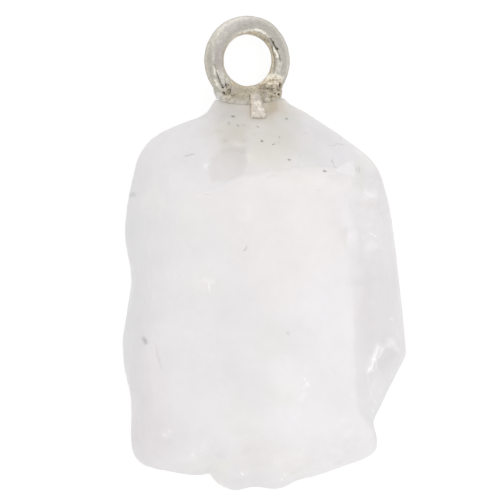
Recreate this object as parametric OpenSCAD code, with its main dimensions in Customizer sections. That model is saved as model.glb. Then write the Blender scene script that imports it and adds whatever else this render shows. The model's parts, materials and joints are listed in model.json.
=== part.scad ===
// Moonstone pendant: a rough tumbled stone with a silver ring soldered to a peg in its neck.
// It lies on its back: +Y runs towards the ring, +X to the right and +Z out of the front face.
// The origin is under the middle of the whole pendant, on the surface that it lies on.

/* [Stone] */
// Height of the front face above the flat cleavage face that the stone lies on
stone_depth = 10.5; // [9.5:0.1:11.5]
// Height of the middle layer, where most of the silhouette edge lies
middle_z = 5.2; // [4.8:0.1:5.6]
// How softly two facets run into each other
edge_soft = 0.2; // [0.12:0.02:0.4]
// Height of the uneven waves on the broken surface
wave_h = 0.03; // [0:0.01:0.08]
// How far the back bulges before the cleavage face cuts it flat
back_bulge = 0.25; // [0.1:0.05:0.5]

/* [Seat] */
// Place across the pendant of the saddle in the neck, the ring and its peg
neck_x = -1.2; // [-1.5:0.1:-0.9]
// Height along the stone of the lowest point of the saddle
saddle_y = 10.35; // [10.2:0.05:10.5]
// Radius of the saddle that the ring's foot sits in
saddle_r = 5.8; // [5:0.1:7]
// Gap left between the silver and the stone
seat_gap = 0.05; // [0.03:0.01:0.1]

/* [Ring] */
// Diameter of the silver wire
wire_d = 1.36; // [1.2:0.02:1.5]
// Diameter of the eye inside the ring
eye_d = 3.54; // [3.2:0.02:3.7]
// Height along the pendant of the middle of the eye
eye_y = 13.5; // [13.45:0.05:13.7]
// Angle that the ring is turned about the pendant's long axis
ring_turn = 16; // [0:1:25]
// Depth of the band worn into the inside of the ring by a cord or link
worn_depth = 0.05; // [0.03:0.01:0.08]

/* [Solder tongue] */
// Thickness of the solder tongue on the front of the neck
tongue_t = 0.3; // [0.2:0.05:0.4]
// Width of the tongue at its lower end
tongue_w = 1.04; // [0.7:0.02:1.2]

/* [Peg] */
// Diameter of the peg in the stone
peg_d = 1.0; // [0.8:0.1:1.2]
// Length of the peg below the saddle
peg_l = 4.0; // [3:0.5:6]
// Clearance all round the peg, and below its end
peg_fit = 0.06; // [0.04:0.01:0.12]

/* [Hidden] */

// Columns of the rim, the stone's silhouette edge seen from the front. It runs from the left of
// the neck down the left side and round, and its last row crosses the top of the neck, which the
// saddle cuts away.
RIM_X = 0;
RIM_Y = 1;
RIM_Z = 2;      // height above the middle layer
RIM_REACH = 3;  // how far in from the edge its rounding reaches
RIM_SHARP = 4;  // 1 where the rim has a sharp corner
RIM = [
    [-3.42, 10.92,  0.0, 1.9, 1],
    [-4.00,  9.95,  0.0, 2.0, 0],
    [-4.65,  9.53,  0.0, 2.1, 0],
    [-5.95,  9.07, -0.1, 2.2, 0],
    [-7.75,  8.15, -0.2, 2.2, 0],
    [-8.75,  6.95, -0.2, 2.2, 0],
    [-9.20,  5.55, -0.1, 2.0, 0],
    [-9.68,  3.00,  0.0, 1.8, 0],
    [-9.76,  0.90,  0.0, 1.8, 0],
    [-9.34, -1.60, -0.2, 1.6, 0],
    [-9.62, -3.85, -0.3, 1.7, 0],
    [-9.96, -6.45, -0.4, 1.8, 0],
    [-9.72, -8.60, -0.4, 1.8, 0],
    [-9.35, -10.40, -0.3, 1.6, 0],
    [-9.38, -12.50, -0.2, 1.6, 0],
    [-9.20, -14.10, -0.2, 1.6, 0],
    [-8.40, -14.85, -0.2, 1.6, 0],
    [-6.10, -15.40, -0.4, 1.3, 0],
    [-4.55, -15.55, -0.5, 1.2, 0],
    [-3.85, -15.40, -0.5, 1.2, 1],
    [-3.35, -16.10, -0.7, 1.3, 0],
    [-2.15, -16.64, -0.8, 1.4, 0],
    [-0.70, -16.38, -0.7, 1.3, 0],
    [ 0.65, -16.52, -0.7, 1.4, 0],
    [ 1.45, -16.37, -0.6, 1.4, 0],
    [ 2.15, -15.98, -0.5, 1.3, 0],
    [ 3.60, -15.60, -0.4, 1.2, 0],
    [ 5.55, -14.93, -0.3, 1.2, 0],
    [ 7.45, -14.12, -0.2, 1.2, 0],
    [ 7.90, -13.40, -0.2, 1.2, 0],
    [ 7.60, -11.75, -0.5, 1.1, 1],
    [ 8.75, -9.45, -1.1, 0.8, 0],
    [ 9.93, -7.15, -1.4, 0.7, 1],
    [ 9.90, -6.55, -1.3, 0.8, 1],
    [ 9.62, -3.60, -0.8, 1.2, 0],
    [ 9.28, -0.60, -0.5, 1.4, 0],
    [ 8.78,  3.00, -0.3, 1.6, 0],
    [ 7.90,  6.00, -0.2, 1.9, 0],
    [ 6.20,  7.65, -0.1, 2.0, 0],
    [ 2.80,  9.90,  0.0, 2.0, 0],
    [ 1.85, 10.43,  0.0, 1.9, 0],
    [ 1.33, 10.88,  0.0, 1.9, 1],
    [-1.10, 11.50,  0.0, 0.3, 0],
];

// Each span between two rows of the rim is split in this many, and the loft's inner rings
// keep every second and then every fourth ray.
SPAN_STEPS = 4;
FULL_RINGS = 13;
HALF_RINGS = 5;
QUARTER_RINGS = 3;
HALF_FROM = 0.50;      // share of the way out to the rim at which the half rings start
QUARTER_FROM = 0.22;
POLE = [0, -2.6];      // where the front and the back close
RIM_NEAR = 18;         // rim points each way that can be the nearest to a place on a ray

// Facets: a place, how far out of the middle layer the plane lies there, and how much further
// out it goes per millimetre to the right and upwards. Those of the front count from the front
// face, and those of the back from its bulge.
FACET_OUT = 2;
FACET_RIGHT = 3;
FACET_UP = 4;
FRONT_FACETS = [
    [ 1.0,   0.0,  0.00,  0.00, -0.02],         // broad front face, upper part
    [ 0.0,  -6.0, -0.20,  0.02,  0.10],         // its lower part
    [-4.0,  -3.0, -0.15,  0.13,  0.01],         // its left part
    [ 6.2,  -3.0, -0.05, -0.70,  0.02],         // right side facet, beyond the long ridge
    [ 6.9,   5.0, -1.50, -0.62, -0.42],         // small facet above it
    [-6.9,   0.0, -0.50,  0.60, -0.02],         // left facet, next to the front face
    [-8.5,   0.0, -1.50,  1.90,  0.00],         // left side wall
    [ 0.0, -12.8, -0.90,  0.03,  0.50],         // brow above the bottom
    [-7.5, -12.9, -1.80,  0.85,  0.80],         // bottom left corner
    [ 6.3, -12.4, -1.60, -0.75,  0.70],         // bottom right corner
];
BACK_FACETS = [
    [ 0.0,  -2.0,  0.00,  0.00,  0.00],         // the cleavage face
    [ 7.2,  -3.0, -0.95, -0.90,  0.12],
    [-7.4,   1.0, -0.75,  1.00,  0.05],
    [-6.2, -11.6, -1.05,  0.55,  0.75],
    [ 4.6, -12.0, -0.95, -0.40,  0.60],
    [ 5.6,   5.2, -1.35, -0.60, -0.55],
    [-5.4,   5.8, -1.15,  0.45, -0.50],
];
// These bound the front and the back alike, and count from the middle layer.
SIDE_FACETS = [
    [-1.2,   5.6,  5.30,  0.11, -0.57],         // slope from the front face up to the neck
    [-5.9,   8.9,  1.70,  0.56, -1.10],         // left shoulder
    [ 3.8,   9.3,  1.70, -0.66, -1.02],         // right shoulder
    [ 7.2,   6.1,  1.70, -0.95, -0.72],         // corner between shoulder and right side
    [-9.1,   5.4,  1.40,  1.30, -0.40],         // corner between shoulder and left side
    [-6.0, -15.1,  2.00,  0.10,  1.30],         // bottom left
    [ 5.0, -14.7,  1.80, -0.42,  1.20],         // bottom right
];

// Shell-shaped scoops in the front: their middle and these columns
SCOOP_HALF_W = 2;
SCOOP_HALF_H = 3;
SCOOP_LEAN = 4;
SCOOP_DEEP = 5;
SCOOPS = [
    [ 9.0,  -9.3, 1.9, 3.6, -22, 1.50],         // the large chip low on the right
    [-2.6,   6.6, 1.4, 2.0,   8, 0.12],         // smooth hollow under the neck
    [-5.6,   6.9, 1.6, 1.0,  25, 0.14],         // shallow flake on the left shoulder
    [ 6.4,   2.3, 0.6, 2.2,  12, 0.22],         // dark wedge beside the ridge
    [ 7.4,   4.0, 0.9, 0.8,   0, 0.16],
    [ 7.2,   1.3, 0.8, 0.7,   0, 0.14],
];

// Soft swells in the front: their middle and these columns, with a dent's height below zero
SWELL_REACH = 2;
SWELL_H = 3;
SWELLS = [
    [-9.6,  -1.6, 1.7, -0.55],                  // waist on the left
    [-9.8,  -6.6, 2.2,  0.30],
    [-9.6, -11.2, 1.5, -0.45],
    [-8.6, -13.6, 1.2,  0.25],
    [-7.4,  -6.0, 1.1,  0.12],
    [-2.1, -15.2, 1.0,  0.55],                  // left lobe at the bottom
    [ 0.6, -15.3, 1.1,  0.45],                  // right lobe
    [-0.7, -15.9, 0.6, -0.30],
    [-4.0, -14.6, 0.8, -0.45],                  // notch beside the left lobe
    [ 6.6, -13.6, 1.1,  0.25],
    [ 3.4, -14.6, 1.0, -0.20],
    [-1.3,  -4.3, 2.0, -0.12],
    [ 2.5,  -9.0, 1.8, -0.10],
    [-5.2,  -9.8, 1.6,  0.12],
];

// Uneven waves all over the stone
WAVE_SHARE = 0;        // of wave_h
WAVE_LENGTH = 1;
WAVE_WAY = 2;          // direction it runs in
WAVE_PHASE = 3;
WAVES = [
    [1.0, 7.3,  20,  40],
    [0.9, 5.6, 105, 200],
    [0.8, 4.5,  62, 310],
    [0.7, 3.6, 150,  85],
];
WAVE_SWAY = 70;        // angle by which each wave sways as it runs
WAVE_SWAY_LENGTH = 1.7;    // how many of its lengths one sway takes
BACK_SHIFT = 3;        // how far the back's waves are moved from the front's

front_out = stone_depth - middle_z;   // the front face, out from the middle layer
back_out = middle_z + back_bulge;     // the back, out the other way before it is cut flat
wire_r = wire_d / 2;
eye_r = eye_d / 2;
ring_r = eye_r + wire_r;              // from the middle of the eye to the middle of the wire
worn_r = eye_r + worn_depth;          // radius of the band worn inside the ring
eye_mid = [neck_x, eye_y, middle_z];
saddle_mid_y = saddle_y + saddle_r;
cut = 40;                             // side of the blocks that cut the stone, larger than it
SADDLE_ROUND = 160;
RING_ROUND = 120;
PEG_ROUND = 64;
WIRE_ROUND = 48;
DROP_ROUND = 32;
HOLE_ABOVE = 1;                       // how far above the saddle the drilled hole starts
PEG_ABOVE = 0.5;                      // how far the peg goes up into the foot

// Solder foot: rows from its top to below the saddle, with its left and right edge from the
// neck's middle and its depth each way
FOOT_Y = 0;
FOOT_LEFT = 1;
FOOT_RIGHT = 2;
FOOT_DEEP = 3;
FOOT = [
    [11.80, 2.30, 2.30, 0.45],
    [11.50, 2.42, 2.42, 0.80],
    [11.25, 2.38, 2.42, 1.20],
    [11.00, 2.24, 2.36, 1.60],
    [10.80, 2.20, 2.34, 1.90],
    [10.45, 2.15, 2.30, 2.20],
    [10.10, 2.10, 2.26, 2.20],
];
FOOT_SIDES = 40;
FOOT_STEPS = 12;

// Ripples on the foot: how many go round it, how far they turn per millimetre and their phase
GRAIN_ROUND = 0;
GRAIN_TURN = 1;
GRAIN_PHASE = 2;
GRAINS = [
    [5,  300,  0],
    [9, -210, 50],
];
GRAIN_H = 0.05;

// Lumps of solder run together on the foot, and pits, whose swell is below zero
LUMP_ANGLE = 0;        // round the foot, with 90 at its front
LUMP_Y = 1;
LUMP_REACH = 2;
LUMP_OUT = 3;
LUMPS = [
    [ 48, 11.15, 0.45,  0.26],
    [ 72, 11.35, 0.35,  0.22],
    [ 58, 10.75, 0.30, -0.16],
    [ 22, 11.05, 0.35,  0.12],
    [128, 11.20, 0.40,  0.20],
    [150, 10.95, 0.35,  0.12],
    [100, 10.95, 0.40, -0.12],
    [232, 11.10, 0.45,  0.20],
    [305, 11.15, 0.50,  0.22],
];

// Drops of solder that climb the wire: their middle, counted from the neck's, and radius
DROP_R = 3;
DROPS = [
    [ 1.72, 11.62,  0.16, 0.52],
    [ 1.95, 12.00, -0.02, 0.42],
    [-1.72, 11.55,  0.66, 0.40],
];

// Tongue: rows down the front of the neck, with its middle from the neck's and its width. The
// first row lies on the foot and the others on the stone.
TONGUE_WIDE = 2;       // share of tongue_w
TONGUE = [
    [0.46, 11.02, 0.62],
    [0.56, 10.45, 0.64],
    [0.70, 10.00, 0.85],
    [0.78,  9.55, 1.00],
];
TONGUE_SUNK = 0.25;    // share of its thickness that is let into the stone
TONGUE_SLICE = 0.1;    // length of each cross-section that it is drawn through
LEAN_STEP = 0.2;       // how far each way the neck's slope is taken

function sum(v) = v * [for (i = v) 1];
function flat(v) = [v.x, v.y];

// A row of the rim in the part's frame, counted round it
function wrap(i) = (i + len(RIM)) % len(RIM);
function rim_at(i) = let (r = RIM[wrap(i)]) [r[RIM_X], r[RIM_Y], middle_z + r[RIM_Z], r[RIM_REACH]];
function span(i) = norm(flat(rim_at(i + 1)) - flat(rim_at(i)));
function is_sharp(i) = RIM[wrap(i)][RIM_SHARP] == 1;

// Direction of the rim at row i, per millimetre, for the span that starts or ends there
function run(i, next) = is_sharp(i)
    ? (next ? (rim_at(i + 1) - rim_at(i)) / span(i) : (rim_at(i) - rim_at(i - 1)) / span(i - 1))
    : (rim_at(i + 1) - rim_at(i - 1)) / (span(i) + span(i - 1));

// The rim at share t of the span that starts at row i
function blend(i, t) =
    rim_at(i) * (2 * pow(t, 3) - 3 * pow(t, 2) + 1)
    + rim_at(i + 1) * (3 * pow(t, 2) - 2 * pow(t, 3))
    + run(i, true) * span(i) * (pow(t, 3) - 2 * pow(t, 2) + t)
    + run(i + 1, false) * span(i) * (pow(t, 3) - pow(t, 2));

RIM_POINTS = [for (i = [0 : len(RIM) - 1], s = [0 : SPAN_STEPS - 1]) blend(i, s / SPAN_STEPS)];
rim_n = len(RIM_POINTS);
function rim_point(i) = RIM_POINTS[(i + rim_n) % rim_n];

// Half way between the outermost points each way, which is where the origin goes
mid_x = (min([for (p = RIM_POINTS) p.x]) + max([for (p = RIM_POINTS) p.x])) / 2;
mid_y = (min([for (p = RIM_POINTS) p.y]) + eye_y + ring_r + wire_r) / 2;

// Shares of the way out to the rim, from the rim inwards, closer together near the rim
RINGS = concat(
    [for (j = [0 : FULL_RINGS - 1])
        1 - (1 - HALF_FROM) * (1 - cos(90 * j / FULL_RINGS))],
    [for (j = [0 : HALF_RINGS - 1]) HALF_FROM - (HALF_FROM - QUARTER_FROM) * j / HALF_RINGS],
    [for (j = [0 : QUARTER_RINGS - 1]) QUARTER_FROM * (1 - j / QUARTER_RINGS)]
);
function ring_skip(j) = j < FULL_RINGS ? 1 : j < FULL_RINGS + HALF_RINGS ? 2 : 4;
function ring_count(j) = rim_n / ring_skip(j);
function ring_start(j) = j == 0 ? 0 : ring_start(j - 1) + ring_count(j - 1);

function wave(x, y) = wave_h * sum([for (w = WAVES)
    let (along = x * cos(w[WAVE_WAY]) + y * sin(w[WAVE_WAY]),
         across = x * sin(w[WAVE_WAY]) - y * cos(w[WAVE_WAY]),
         sway = WAVE_SWAY
            * sin(360 * across / (WAVE_SWAY_LENGTH * w[WAVE_LENGTH]) + 2 * w[WAVE_PHASE]))
    w[WAVE_SHARE] * sin(360 * along / w[WAVE_LENGTH] + w[WAVE_PHASE] + sway)]);

function swell(x, y) = sum([for (s = SWELLS)
    s[SWELL_H] * exp(-(pow(x - s.x, 2) + pow(y - s.y, 2)) / pow(s[SWELL_REACH], 2))]);

// Distance from the middle of scoop s, 1 at its edge, squared
function scoop_reach(x, y, s) =
    let (u = (x - s.x) * cos(s[SCOOP_LEAN]) + (y - s.y) * sin(s[SCOOP_LEAN]),
         v = (y - s.y) * cos(s[SCOOP_LEAN]) - (x - s.x) * sin(s[SCOOP_LEAN]))
    pow(u / s[SCOOP_HALF_W], 2) + pow(v / s[SCOOP_HALF_H], 2);
function scoop(x, y) = sum([for (s = SCOOPS) s[SCOOP_DEEP] * max(0, 1 - scoop_reach(x, y, s))]);

// How far out each of the planes lies at a place, and the nearest of them with soft edges
function planes_at(x, y, planes, from) = [for (p = planes)
    from + p[FACET_OUT] + p[FACET_RIGHT] * (x - p.x) + p[FACET_UP] * (y - p.y)];
function nearest(outs) = -edge_soft * ln(sum([for (h = outs) exp(-h / edge_soft)]));
function facets(x, y, planes, from) =
    nearest(concat(planes_at(x, y, planes, from), planes_at(x, y, SIDE_FACETS, 0)));

function front_height(x, y) = middle_z + facets(x, y, FRONT_FACETS, front_out)
    + wave(x, y) + swell(x, y) - scoop(x, y);
function back_height(x, y) = middle_z - facets(x, y, BACK_FACETS, back_out)
    - wave(-x, y + BACK_SHIFT);

// Distance from p to the straight between a and b
function off_line(p, a, b) =
    let (t = max(0, min(1, (p - a) * (b - a) / ((b - a) * (b - a)))))
    norm(p - a - t * (b - a));
// Rounding of an edge: from 0 on it to 1 at its reach
function rise(d, reach) = d >= reach ? 1 : sqrt(1 - pow(1 - d / reach, 2));
// Rounding at p by the nearest stretch of the rim around its point i
function edge_rise(p, i) = min([for (k = [i - RIM_NEAR : i + RIM_NEAR])
    rise(off_line(p, flat(rim_point(k)), flat(rim_point(k + 1))), rim_point(k)[RIM_REACH])]);

// Height of the stone's surface over p, near the rim point i
function skin_height(p, i, front) =
    let (edge_z = rim_point(i)[RIM_Z],
         top = front ? front_height(p.x, p.y) : back_height(p.x, p.y))
    edge_z + (top - edge_z) * edge_rise(p, i);

// A point of the loft: i is the rim point, k the share of the way out to it
function loft_point(i, k, front) =
    let (p = POLE + k * (flat(RIM_POINTS[i]) - POLE))
    [p.x, p.y, k == 1 ? RIM_POINTS[i][RIM_Z] : skin_height(p, i, front)];

// The front starts with ring 0, the rim, and the back shares it
function cap_points(front) = [for (j = [front ? 0 : 1 : len(RINGS) - 1],
    i = [0 : ring_skip(j) : rim_n - 1]) loft_point(i, RINGS[j], front)];
STONE_POINTS = concat(
    cap_points(true),
    [loft_point(0, 0, true)],
    cap_points(false),
    [loft_point(0, 0, false)]
);
front_pole = ring_start(len(RINGS));
back_pole = len(STONE_POINTS) - 1;
function ring_first(j, front) =
    front || j == 0 ? ring_start(j) : front_pole + 1 + ring_start(j) - rim_n;

// Faces between a ring of na points from a on and one of nb, the same number or half of it
function strip(a, na, b, nb) = na == nb
    ? [for (k = [0 : na - 1], h = [0, 1]) h == 0
        ? [a + k, b + k, a + (k + 1) % na]
        : [a + (k + 1) % na, b + k, b + (k + 1) % nb]]
    : [for (k = [0 : nb - 1], h = [0, 1, 2])
        h == 0 ? [a + 2 * k, b + k, a + 2 * k + 1]
        : h == 1 ? [a + 2 * k + 1, b + k, b + (k + 1) % nb]
        : [a + 2 * k + 1, b + (k + 1) % nb, a + (2 * k + 2) % na]];
function turned(faces) = [for (f = faces) [f[2], f[1], f[0]]];
function cap_faces(front, pole) = concat(
    [for (j = [0 : len(RINGS) - 2])
        each strip(ring_first(j, front), ring_count(j), ring_first(j + 1, front), ring_count(j + 1))],
    [for (k = [0 : ring_count(len(RINGS) - 1) - 1])
        [ring_first(len(RINGS) - 1, front) + k, pole,
         ring_first(len(RINGS) - 1, front) + (k + 1) % ring_count(len(RINGS) - 1)]]
);
STONE_FACES = concat(cap_faces(true, front_pole), turned(cap_faces(false, back_pole)));

// A column of the foot's rows at height y
function foot_size(y, column) =
    lookup(y, [for (k = [len(FOOT) - 1 : -1 : 0]) [FOOT[k][FOOT_Y], FOOT[k][column]]]);

// Height of the front of the neck at a place, by the rim's last row, in the middle of its top
function neck_front(x, y) = skin_height([x, y], rim_n - SPAN_STEPS, true);

// One cross-section of the tongue, thickened by fit all round
module tongue_slice(row, fit) {
    x = neck_x + TONGUE[row].x;
    y = TONGUE[row].y;
    bed = row == 0 ? middle_z + foot_size(y, FOOT_DEEP) : neck_front(x, y);
    lean = atan((neck_front(x, y - LEAN_STEP) - neck_front(x, y + LEAN_STEP)) / (2 * LEAN_STEP));
    width = TONGUE[row][TONGUE_WIDE] * tongue_w;
    translate([x, y, bed + tongue_t * (0.5 - TONGUE_SUNK)])
        rotate([-lean, 0, 0])
            cube([width + 2 * fit, TONGUE_SLICE + 2 * fit, tongue_t + 2 * fit], center = true);
}

module tongue(fit) {
    for (row = [0 : len(TONGUE) - 2])
        hull() {
            tongue_slice(row, fit);
            tongue_slice(row + 1, fit);
        }
}

// The round saddle in the top of the neck, smaller by fit
module saddle(fit) {
    translate([neck_x, saddle_mid_y, -cut / 4])
        cylinder(r = saddle_r - fit, h = cut, $fn = SADDLE_ROUND);
}

module stone() {
    color([0.93, 0.92, 0.92])
        translate([-mid_x, -mid_y, 0])
            difference() {
                polyhedron(points = STONE_POINTS, faces = STONE_FACES, convexity = 6);
                translate([-cut / 2, -cut / 2, -cut]) cube(cut);
                saddle(0);
                translate([neck_x, saddle_y + HOLE_ABOVE, middle_z])
                    rotate([90, 0, 0])
                        cylinder(r = peg_d / 2 + peg_fit, h = HOLE_ABOVE + peg_l + peg_fit,
                            $fn = PEG_ROUND);
                tongue(seat_gap);
            }
}

// How far the foot's skin swells out at angle a and height y
function foot_grain(a, y) = GRAIN_H * sum([for (g = GRAINS)
    sin(g[GRAIN_ROUND] * a + g[GRAIN_TURN] * y + g[GRAIN_PHASE])]);
function foot_lumps(a, y) = sum([for (l = LUMPS)
    let (along = 2 * PI * foot_size(y, FOOT_DEEP) * (a - l[LUMP_ANGLE]) / 360,
         up = y - l[LUMP_Y])
    l[LUMP_OUT] * exp(-(pow(along, 2) + pow(up, 2)) / pow(l[LUMP_REACH], 2))]);

foot_top = FOOT[0][FOOT_Y];
foot_end = FOOT[len(FOOT) - 1][FOOT_Y];
FOOT_POINTS = [for (j = [0 : FOOT_STEPS], s = [0 : FOOT_SIDES - 1])
    let (a = 360 * s / FOOT_SIDES,
         y = foot_top + (foot_end - foot_top) * j / FOOT_STEPS,
         out = foot_grain(a, y) + foot_lumps(a, y))
    [cos(a) * (foot_size(y, cos(a) < 0 ? FOOT_LEFT : FOOT_RIGHT) + min(0, out)), y,
     sin(a) * (foot_size(y, FOOT_DEEP) + out)]];
foot_last = FOOT_STEPS * FOOT_SIDES;
FOOT_FACES = concat(
    [[for (s = [0 : FOOT_SIDES - 1]) s]],
    [for (j = [0 : FOOT_STEPS - 1])
        each strip(j * FOOT_SIDES, FOOT_SIDES, (j + 1) * FOOT_SIDES, FOOT_SIDES)],
    [[for (s = [FOOT_SIDES - 1 : -1 : 0]) foot_last + s]]
);

module wire_ring() {
    translate(eye_mid)
        rotate([0, ring_turn, 0])
            rotate_extrude($fn = RING_ROUND)
                translate([ring_r, 0]) circle(r = wire_r, $fn = WIRE_ROUND);
}

module solder_foot() {
    intersection() {
        translate([neck_x, 0, middle_z]) {
            polyhedron(points = FOOT_POINTS, faces = FOOT_FACES, convexity = 4);
            for (d = DROPS) translate([d.x, d.y, d.z]) sphere(r = d[DROP_R], $fn = DROP_ROUND);
        }
        saddle(seat_gap);
    }
}

module peg() {
    translate([neck_x, saddle_y + PEG_ABOVE, middle_z])
        rotate([90, 0, 0])
            cylinder(d = peg_d, h = PEG_ABOVE + peg_l, $fn = PEG_ROUND);
}

// The soldered piece, with the band worn flat inside its ring
module ring() {
    color([0.76, 0.74, 0.70])
        translate([-mid_x, -mid_y, 0])
            difference() {
                union() {
                    wire_ring();
                    solder_foot();
                    tongue(0);
                    peg();
                }
                translate(eye_mid)
                    rotate([0, ring_turn, 0])
                        cylinder(r = worn_r, h = cut, center = true, $fn = RING_ROUND);
            }
}

stone();
ring();
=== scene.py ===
"""A raw moonstone pendant lying on its back on a pale table, lit softly from above."""

import json
import math

import bmesh
import bpy
import numpy as np
from bpy.props import FloatProperty, FloatVectorProperty, PointerProperty
from mathutils import Euler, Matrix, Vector, noise


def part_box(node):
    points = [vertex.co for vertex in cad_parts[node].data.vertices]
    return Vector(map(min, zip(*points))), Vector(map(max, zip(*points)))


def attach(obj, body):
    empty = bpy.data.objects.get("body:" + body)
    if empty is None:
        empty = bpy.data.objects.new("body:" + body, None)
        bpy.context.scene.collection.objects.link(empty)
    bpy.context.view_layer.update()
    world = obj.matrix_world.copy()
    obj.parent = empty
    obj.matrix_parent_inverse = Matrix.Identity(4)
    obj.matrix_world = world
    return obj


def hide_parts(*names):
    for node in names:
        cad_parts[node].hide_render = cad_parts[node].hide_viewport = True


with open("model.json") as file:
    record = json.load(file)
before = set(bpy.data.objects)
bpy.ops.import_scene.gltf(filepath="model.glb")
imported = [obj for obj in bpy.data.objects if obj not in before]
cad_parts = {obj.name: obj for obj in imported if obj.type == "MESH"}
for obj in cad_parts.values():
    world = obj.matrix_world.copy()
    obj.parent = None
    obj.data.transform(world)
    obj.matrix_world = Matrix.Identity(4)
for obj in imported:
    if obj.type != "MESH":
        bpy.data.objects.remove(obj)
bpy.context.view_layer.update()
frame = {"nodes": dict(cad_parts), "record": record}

bl_info = {
    "name": "Moonstone Pendant",
    "version": (1, 0, 0),
    "blender": (4, 5, 0),
    "location": "3D View > Sidebar > Pendant",
    "description": "Builds a raw moonstone with a soldered silver ring around its frame",
    "category": "Object",
}

MM = 0.001
STONE_LOW, STONE_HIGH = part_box("stone")
RING_LOW, RING_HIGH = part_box("ring")


# Sizes and colours that a user would change

def colour(name, about, default):
    """A colour that a user can change."""
    return FloatVectorProperty(
        name=name, description=about, default=default, subtype="COLOR", min=0, max=1)


def number(name, about, default, least=0, **options):
    """A number that a user can change, but not to less than the least."""
    return FloatProperty(name=name, description=about, default=default, min=least, **options)


def length(name, about, default, least=0):
    """A length in metres that a user can change."""
    return number(name, about, default, least, unit="LENGTH", precision=6)


class PendantStone(bpy.types.PropertyGroup):
    voxel: length("Mesh size", "Spacing of the stone's mesh", 0.137 * MM, 0.1 * MM)
    milk: colour("Milk", "Colour of the milky body", (0.80, 0.785, 0.788))
    depth: length("Glow depth", "How deep light goes into the stone", 0.9 * MM)
    roughness: number("Roughness", "Roughness of the tumbled skin", 0.42, max=1)


class PendantSilver(bpy.types.PropertyGroup):
    voxel: length("Mesh size", "Spacing of the ring's mesh", 0.0385 * MM, 0.03 * MM)
    silver: colour("Silver", "Colour of the satin wire", (0.66, 0.63, 0.57))
    frost: colour("Frost", "Colour of the frosted solder tongue", (0.80, 0.735, 0.66))
    roughness: number("Roughness", "Roughness of the satin wire", 0.34, max=1)


class PendantStage(bpy.types.PropertyGroup):
    floor: colour("Floor", "Colour of the table", (0.36, 0.36, 0.36))
    glow: number("Floor glow", "Light that comes up through the table", 0.69)
    light: number("Room light", "Strength of the even light all round", 0.74)
    key: number("Key light", "Power of the large light above", 1.0, unit="POWER")
    sheen: number("Sheen", "Power of each lamp that only glossy surfaces mirror", 0.096,
                  unit="POWER")
    distance: length("Camera distance", "Distance from the camera to the stone's rim", 0.6, 0.2)


# Meshes

# How far the noise of one seed lies from that of the next, along x, y and z
RIPPLE_STRIDE = (7.13, 3.71, 5.37)


def copy_of_node(name, piece):
    """A new object with a copy of a CAD node's mesh, its loose triangles joined."""
    shell = bmesh.new()
    shell.from_mesh(frame["nodes"][name].data)
    bmesh.ops.remove_doubles(shell, verts=shell.verts, dist=1e-7)
    mesh = bpy.data.meshes.new(piece)
    shell.to_mesh(mesh)
    shell.free()
    obj = bpy.data.objects.new(piece, mesh)
    bpy.context.scene.collection.objects.link(obj)
    return obj


def remesh(obj, size):
    """Makes the object's mesh an even grid of quads of that size."""
    grid = obj.modifiers.new("Grid", "REMESH")
    grid.mode = "VOXEL"
    grid.voxel_size = size
    grid.adaptivity = 0
    graph = bpy.context.evaluated_depsgraph_get()
    made = bpy.data.meshes.new_from_object(obj.evaluated_get(graph))
    obj.modifiers.clear()
    old = obj.data
    obj.data = made
    bpy.data.meshes.remove(old)


def smooth(obj, rounds):
    """Takes the steps of the grid out of a mesh."""
    shell = bmesh.new()
    shell.from_mesh(obj.data)
    for _ in range(rounds):
        bmesh.ops.smooth_vert(
            shell, verts=shell.verts, factor=0.5,
            use_axis_x=True, use_axis_y=True, use_axis_z=True)
    shell.to_mesh(obj.data)
    shell.free()
    obj.data.update()


def points_of(mesh):
    """The mesh's vertices and their normals, as arrays in millimetres and unit vectors."""
    count = len(mesh.vertices)
    at = np.empty(count * 3, np.float32)
    mesh.vertices.foreach_get("co", at)
    out = np.empty(count * 3, np.float32)
    mesh.vertices.foreach_get("normal", out)
    return at.reshape(-1, 3).astype(float) / MM, out.reshape(-1, 3).astype(float)


def set_points(mesh, at, low, high):
    """Moves the mesh's vertices to places in millimetres, but not out of the frame's box."""
    kept = np.clip(at, np.array(low) / MM, np.array(high) / MM)
    mesh.vertices.foreach_set("co", (kept * MM).astype(np.float32).ravel())
    mesh.update()


def paint(mesh, name, colours):
    """Stores a colour for each vertex."""
    layer = mesh.color_attributes.new(name, "FLOAT_COLOR", "POINT")
    four = np.ones((len(colours), 4), np.float32)
    four[:, :3] = colours
    layer.data.foreach_set("color", four.ravel())


def grade(mesh, name, values):
    """Stores a value for each vertex."""
    layer = mesh.attributes.new(name, "FLOAT", "POINT")
    layer.data.foreach_set("value", np.asarray(values, np.float32))


def ripple(at, size, seed, octaves=3):
    """Smooth noise from about -1 to 1 at each point, with features of that size."""
    shift = Vector([seed * part for part in RIPPLE_STRIDE])
    return np.array([
        noise.fractal(Vector(p) / size + shift, 1.0, 2.0, octaves,
                      noise_basis="PERLIN_ORIGINAL") for p in at])


def step(value, low, high):
    """Goes smoothly from 0 at low to 1 at high."""
    share = np.clip((value - low) / (high - low), 0, 1)
    return share * share * (3 - 2 * share)


def bell(off):
    """1 on a mark, falling softly to 0 away from it."""
    return np.exp(-off * off)


def along(x, line):
    """Height at each x of a line that joins points from left to right."""
    return np.interp(x, [p[0] for p in line], [p[1] for p in line])


def wash(tone, mask, colour):
    """Multiplies the tones by a colour where the mask is 1."""
    np.multiply(tone, 1 + mask[:, None] * (np.array(colour) - 1), out=tone)


def finish_piece(obj, node, material):
    """Gives a piece its material and puts it in the place of its node."""
    obj.data.materials.clear()
    obj.data.materials.append(material)
    obj.data.shade_smooth()
    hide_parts(node)
    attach(obj, "root")


# Marks on the stone, seen from the front. Places and sizes are in millimetres in the part's
# frame, angles in degrees, and a tone is what the milk's colour is multiplied by: one number, or
# one each for red, green and blue.

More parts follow.
